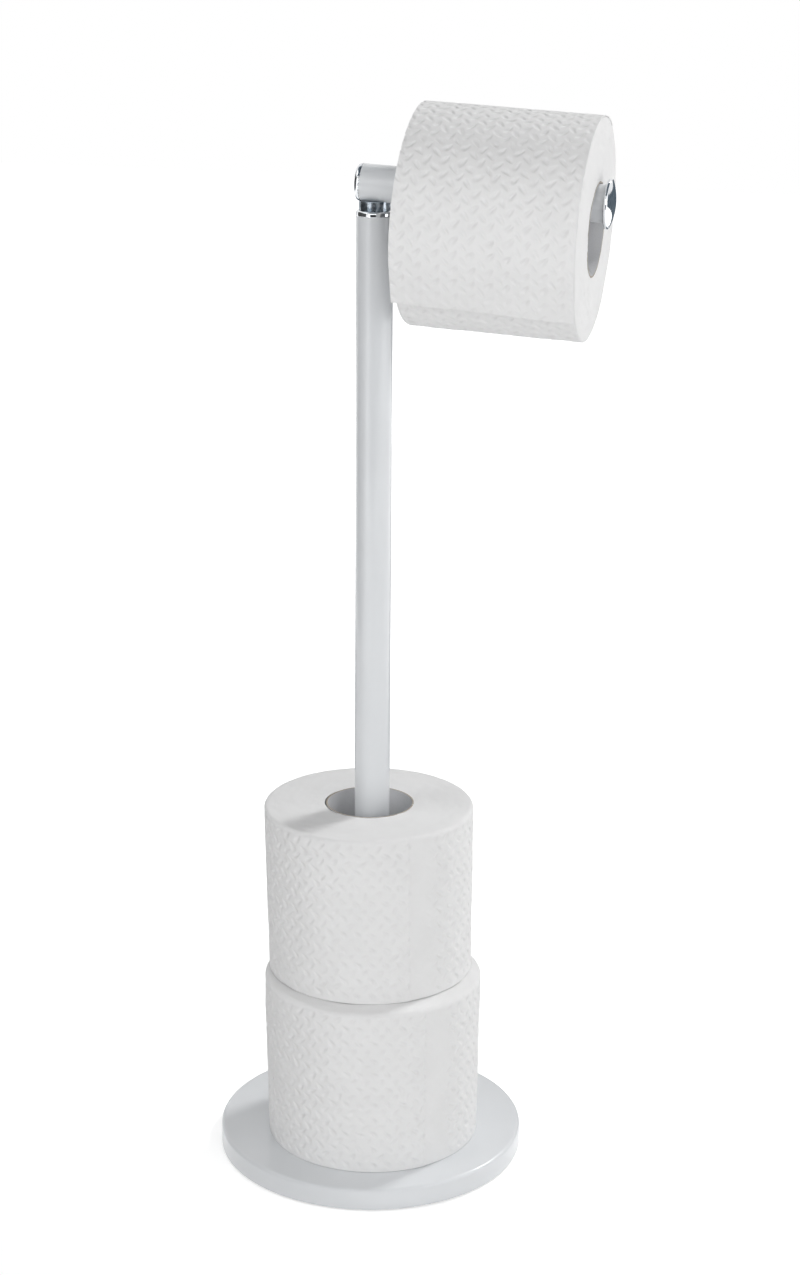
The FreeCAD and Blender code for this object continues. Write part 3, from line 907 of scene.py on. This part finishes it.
def paper_roll(name, shape, place):
    """A wound roll, which stands from 0 to its width along the Z of its own axes."""
    seed = shape["seed"]
    length = 2 * math.pi * shape["radius"]
    along = roll_columns(length)
    turn = along / shape["radius"]
    angle = turn + math.radians(shape["seam"])
    radius, height, on_wall, on_end = roll_form(shape, turn, angle, seed)
    bare = smooth_share(along, shape["covered"] - SMOOTH_TAIL / 2, shape["covered"])
    relief = on_wall * bare * press_share(shape, along, height)
    drawn_along, drawn_height = wandered(along, height, seed + 5)
    soft = swells(np.stack([along + 0 * height, height], axis=-1), PAPER_SWELLS, seed + 3)
    slack = (soft + seam_edge(length - along)) * bare - COVERED_DROP * (1 - bare)
    radius = radius + on_wall * slack - pressed(drawn_along, drawn_height) * relief * EMBOSS_DEPTH
    sideways = radius * np.cos(angle) + shape["lean"] * (0.5 - height / shape["width"])
    points = np.stack([sideways, radius * np.sin(angle), height], axis=-1)
    end_map = np.stack([angle + 0 * radius, radius, -on_end], axis=-1)
    wall_map = np.stack([drawn_along, drawn_height, relief], axis=-1)
    surface_map = np.where(on_wall[..., None] > WALL_MAP_SHARE, wall_map, end_map) * (MM, MM, 1)
    return roll_mesh(name, points, surface_map, place)


# %% Cores
BOARD_BEND = 0.15
CUT_DEPTH = 0.12


def board_core(name, width, place):
    """A cardboard tube whose cut ends are marked in its map."""
    outside = CORE_RADIUS + CORE_WALL
    corners = ((CORE_RADIUS, 0), (outside, 0), (outside, width), (CORE_RADIUS, width))
    profile = outline([(radius, height, BOARD_BEND) for radius, height in corners])
    mesh = turned(name, profile, place, CORE_COLUMNS)
    kept = mesh.attributes["surface_map"].data
    values = np.zeros(len(kept) * 3, np.float32)
    kept.foreach_get("vector", values)
    height = values[1::3]
    values[2::3] = np.minimum(height, width * MM - height) < CUT_DEPTH * MM
    kept.foreach_set("vector", values)
    return mesh


# %% The three rolls
HANG_DROP = 13.3
ARM_ROLL_START = 23.2
ARM_ROLL_WIDTH = 92.2
ARM_ROLL_RADIUS = 55.9
ARM_ROLL_SEAM = 150.0
SPARE_WIDTH = 95.0
UPPER_PLACE = Vector((-1.8, 2.2, BASE_TOP + SPARE_WIDTH))
LOWER_PLACE = Vector((2.7, -5.8, BASE_TOP))

arm_roll_axes = along_arm(ARM_ROLL_START, HANG_DROP)
ROLLS = {
    "arm_roll": (arm_roll_axes, {
        "radius": ARM_ROLL_RADIUS, "width": ARM_ROLL_WIDTH, "seam": ARM_ROLL_SEAM,
        "low_bend": 2.6, "high_bend": 1.4, "flare": 0.0, "lean": 0.0, "sag": 0.9,
        "covered": 151.0, "emboss_share": 1.0, "seed": 11,
    }),
    "upper_roll": (Matrix.Translation(UPPER_PLACE * MM), {
        "radius": 56.7, "width": SPARE_WIDTH, "seam": 307.0,
        "low_bend": 0.4, "high_bend": 2.8, "flare": 1.2, "lean": 1.3, "sag": 0.0,
        "covered": 0.0, "emboss_share": 1.05, "seed": 23,
    }),
    "lower_roll": (Matrix.Translation(LOWER_PLACE * MM), {
        "radius": 59.2, "width": SPARE_WIDTH, "seam": 313.0,
        "low_bend": 0.5, "high_bend": 3.4, "flare": 1.4, "lean": 0.4, "sag": 0.0,
        "covered": 0.0, "emboss_share": 1.05, "seed": 37,
    }),
}
for name, (axes, shape) in ROLLS.items():
    paper = paper_roll(f"{name}_winding", shape, axes)
    show(paper, name, tissue, "tissue", f"{name}_paper")
    core = board_core(f"{name}_tube", shape["width"], axes)
    show(core, name, board, "core_board", f"{name}_core")

# %% [markdown]
# ## The last sheet
# The sheet in use lies over the roll's top and front and ends a little below the front. Its end no longer
# clings: the last two centimetres leave the roll along a tangent, so they catch the front light while the
# roll behind them turns away from it, and that is what draws the line across the roll. The sheet is torn
# at a perforation, so its end is finely toothed, and it was wound a little askew. It is a thin closed
# shell, an outer and an inner grid of points joined round the edge, and it is first laid out at the size
# it has when flat.

# %% The sheet, laid flat
SHEET_LENGTH = 159.0
SHEET_STEP = 0.5
SHEET_SHIFT = -0.3
SHEET_SKEW = 0.6
SIDE_WANDER = 0.25
TOOTH_PITCH = 2.4
TOOTH_DEPTH = 0.35
END_SKEW = 1.8
END_SWAY = 0.3
SWAY_LENGTH = 60.0
TORN_SHARE = 0.95


def flat_sheet():
    """The way along the sheet and the height across it, for a grid of its points."""
    across = np.linspace(0, 1, int(ARM_ROLL_WIDTH / SHEET_STEP))[:, None]
    share = np.linspace(0, 1, int(SHEET_LENGTH / SHEET_STEP))[None, :]
    wander = SIDE_WANDER * np.sin(2 * math.pi * share) * (1 - across)
    height = across * ARM_ROLL_WIDTH + SHEET_SHIFT - SHEET_SKEW * share + wander
    tooth = TOOTH_DEPTH * abs((height / TOOTH_PITCH) % 1.0 - 0.5)
    sway = END_SWAY * np.sin(2 * math.pi * height / SWAY_LENGTH)
    more = tooth + sway - END_SKEW * (1 - across)
    along = share * SHEET_LENGTH + smooth_share(share, TORN_SHARE, 1) * more
    return along, height


# %% The sheet, hung on the roll
SHEET_GAP = 0.05
SHEET_INSIDE = ARM_ROLL_RADIUS + SHEET_GAP
SHELL_SHARE = 0.9
SHEET_SLACK = 0.05
SLACK_LENGTH = 30.0
SLACK_SEED = 53
WANDER_SEED = 59
FREE_LENGTH = 18.0
FREE_PRESS_SHARE = 0.6


def hung(along):
    """The angle round the roll and the distance from its axis: wound first, then along a tangent."""
    free = np.maximum(along - (SHEET_LENGTH - FREE_LENGTH), 0)
    angle = math.radians(ARM_ROLL_SEAM) + (along - free) / SHEET_INSIDE + np.arctan(free / SHEET_INSIDE)
    return angle, np.hypot(SHEET_INSIDE, free)


def shell_faces(rows, columns):
    """Quads of a thin shell: one grid of points, the same grid behind it, and the edge between them."""
    count = rows * columns
    front = grid_faces(rows, columns, False, False)
    corner = np.arange(count).reshape(rows, columns)
    rim = np.concatenate([corner[0, :-1], corner[:-1, -1], corner[-1, :0:-1], corner[:0:-1, 0]])
    after = np.roll(rim, -1)
    edge = np.stack([rim, rim + count, after + count, after], axis=-1)
    return np.concatenate([front, front[:, ::-1] + count, edge])


def last_sheet():
    """The sheet in use, as a thin shell in the frame's axes."""
    along, height = flat_sheet()
    angle, inside = hung(along)
    edge = smooth_share(ARM_ROLL_WIDTH + SHEET_SHIFT - height, 0, SMOOTH_RIM)
    ending = smooth_share(along, SHEET_LENGTH - SMOOTH_TAIL, SHEET_LENGTH)
    relief = edge * (1 - (1 - FREE_PRESS_SHARE) * ending)
    slack = SHEET_SLACK * unevenness(np.stack([along, height], axis=-1), SLACK_LENGTH, SLACK_SEED)
    drawn_along, drawn_height = wandered(along, height, WANDER_SEED)
    outer = inside + SHEET + slack - pressed(drawn_along, drawn_height) * relief * EMBOSS_DEPTH
    points = [
        np.stack([radius * np.cos(angle), radius * np.sin(angle), height], axis=-1).reshape(-1, 3)
        for radius in (outer, outer - SHELL_SHARE * SHEET)
    ]
    surface_map = np.stack([drawn_along * MM, drawn_height * MM, relief], axis=-1).reshape(-1, 3)
    points = placed(np.concatenate(points) * MM, arm_roll_axes)
    return solid_mesh("last_sheet", points, shell_faces(*along.shape), np.concatenate([surface_map] * 2))


sheet = show(last_sheet(), "arm_roll", tissue, "tissue", "arm_roll_loose_sheet")

# %% [markdown]
# ## The studio
# The photograph is a catalogue picture on pure white. White could be had by flooding the scene with
# light, but that would wash out the object. Instead the world and the floor answer camera and mirror
# rays with plain white, while the light that reaches the object stays at a level at which a colour
# renders about as it is written. A small strong lamp behind on the right throws the shadows, and broad
# weaker lamps on the left, in front and on the right fill them. A dark grey card on the left gives the
# round pieces their darker flank. The slate and black cards are seen in reflections alone, and draw dark
# lines in the chrome, as a photographer's flags do.

# %% World
WHITE = (1, 1, 1, 1)
BLACK = (0, 0, 0, 1)
WORLD_FILL = 0.25

world = bpy.data.worlds.new("studio")
scene.world = world
world.use_nodes = True
sky = Graph(world.node_tree)
backdrop = sky.tree.nodes["Background"]
sky.feed(backdrop, {"Color": WHITE})
fill = sky.node("ShaderNodeBackground", {}, {"Color": WHITE, "Strength": WORLD_FILL})
sides = {0: sky.seen(), 1: fill, 2: Wire(sky, backdrop.outputs[0])}
sky.feed(sky.tree.nodes["World Output"], {"Surface": sky.node("ShaderNodeMixShader", {}, sides)})
print("world fills in at", WORLD_FILL)

# %% Floor
SQUARE = ((-1, -1), (1, -1), (1, 1), (-1, 1))
FLOOR_WIDTH = 8.0
FLOOR_CONSTANTS = {"Roughness": 0.9, "Specular IOR Level": 0.0, "Emission Strength": 1.0}
FLOOR_PALE = (0.88, 0.88, 0.88, 1)
FLOOR_PALER = (0.9, 0.9, 0.9, 1)
FLOOR_TONE_SCALE = 6.0
FLOOR_GLOW_NEAR = 0.55
FLOOR_GLOW_FAR = 1.0
GLOW_ENDS = (0.25, 1.1)


def flat_piece(name, wide, tall, finish):
    """A rectangle about its own middle, which faces its own Z."""
    mesh = bpy.data.meshes.new(name)
    corners = [(x * wide / 2, y * tall / 2, 0) for x, y in SQUARE]
    mesh.from_pydata(corners, [], [range(len(corners))])
    mesh.materials.append(finish.material)
    piece = bpy.data.objects.new(name, mesh)
    scene.collection.objects.link(piece)
    return piece


paint = Finish("studio_floor", FLOOR_CONSTANTS)
floor_place = paint.place()
floor_tone = paint.noise(floor_place, FLOOR_TONE_SCALE)
away = paint.node("ShaderNodeVectorMath", {"operation": "LENGTH"}, {0: floor_place}, "Value")
glow = FLOOR_GLOW_NEAR + away.step(*GLOW_ENDS) * (FLOOR_GLOW_FAR - FLOOR_GLOW_NEAR)
paint.shade({
    "Base Color": paint.blend(floor_tone, FLOOR_PALE, FLOOR_PALER),
    "Emission Color": paint.blend(paint.seen() * glow, BLACK, WHITE),
})
floor = flat_piece("floor", FLOOR_WIDTH, FLOOR_WIDTH, paint)
paint.tell()

# %% Lamps
MIDDLE = (0.02, 0.0, 0.3)
LAMPS = {
    "back_right": {"place": (0.95, 1.35, 1.8), "across": 0.35, "watts": 21.5},
    "left": {"place": (-1.6, -1.0, 0.9), "across": 1.2, "watts": 15.5},
    "left_high": {"place": (-1.3, -0.6, 2.0), "across": 1.2, "watts": 5.5},
    "front": {"place": (-0.3, -2.2, 0.9), "across": 1.6, "watts": 6.5},
    "front_right": {"place": (1.1, -1.8, 0.8), "across": 1.2, "watts": 6.5},
    "right_high": {"place": (1.5, -1.0, 1.5), "across": 1.4, "watts": 3.4},
    "right_low": {"place": (1.8, -0.3, 0.4), "across": 1.4, "watts": 6.0},
}


def aim(thing, place, target, axis):
    """Stands a lamp or a card at a place, with one of its axes towards a target."""
    thing.location = place
    thing.rotation_euler = (Vector(target) - Vector(place)).to_track_quat(axis, "Y").to_euler()


def lamp(name, place, across, watts):
    """A soft square lamp that faces the middle of the object."""
    light = bpy.data.lights.new(name, "AREA")
    light.size = across
    light.energy = watts
    thing = bpy.data.objects.new(name, light)
    aim(thing, place, MIDDLE, "-Z")
    scene.collection.objects.link(thing)


for name, setting in LAMPS.items():
    lamp(name, **setting)
print("lamps:", ", ".join(LAMPS))

# %% Cards
GREY_CARD = (0.08, 0.08, 0.08)
SLATE_CARD = (0.12, 0.155, 0.19)
BLACK_CARD = (0.03, 0.03, 0.035)
CARD_CONSTANTS = {"Base Color": BLACK, "Roughness": 1.0, "Emission Strength": 1.0}
PATCH_SCALE = 5.0
PATCH_ENDS = (0.35, 0.65)
PATCH_SHARE = 0.6
# Each card has its place, the point that it faces, its width and height, and its colour
CARDS = {
    "left_card": ((-0.9, -0.2, 0.35), MIDDLE, (1.4, 1.6), GREY_CARD),
    "front_card": ((1.0, -1.5, 0.25), (1.0, 0.0, 0.25), (2.8, 0.7), SLATE_CARD),
    "dark_card": ((0.2, -1.4, 0.25), (0.2, 0.0, 0.25), (0.9, 0.7), BLACK_CARD),
    "back_card": ((0.4, 1.9, 0.2), (0.4, 0.0, 0.2), (4.2, 0.7), SLATE_CARD),
    "floor_card": ((-0.1, 1.0, 0.003), (-0.1, 1.0, 1.0), (1.3, 1.4), SLATE_CARD),
    "ceiling_card": ((0.0, -0.4, 2.4), (0.0, -0.4, 0.0), (3.0, 3.0), SLATE_CARD),
}


def card(name, place, target, size, colour):
    """A studio card that faces a point. The camera never sees it, and only the grey one shades paper."""
    cloth = Finish(name, CARD_CONSTANTS)
    patch = cloth.noise(cloth.place(), PATCH_SCALE)
    dark = [PATCH_SHARE * part for part in colour]
    cloth.shade({"Emission Color": cloth.blend(patch.step(*PATCH_ENDS), (*dark, 1), (*colour, 1))})
    thing = flat_piece(name, *size, cloth)
    aim(thing, place, target, "Z")
    thing.visible_camera = False
    thing.visible_shadow = False
    thing.visible_diffuse = colour is GREY_CARD


for name, setting in CARDS.items():
    card(name, *setting)
print("cards:", ", ".join(CARDS))
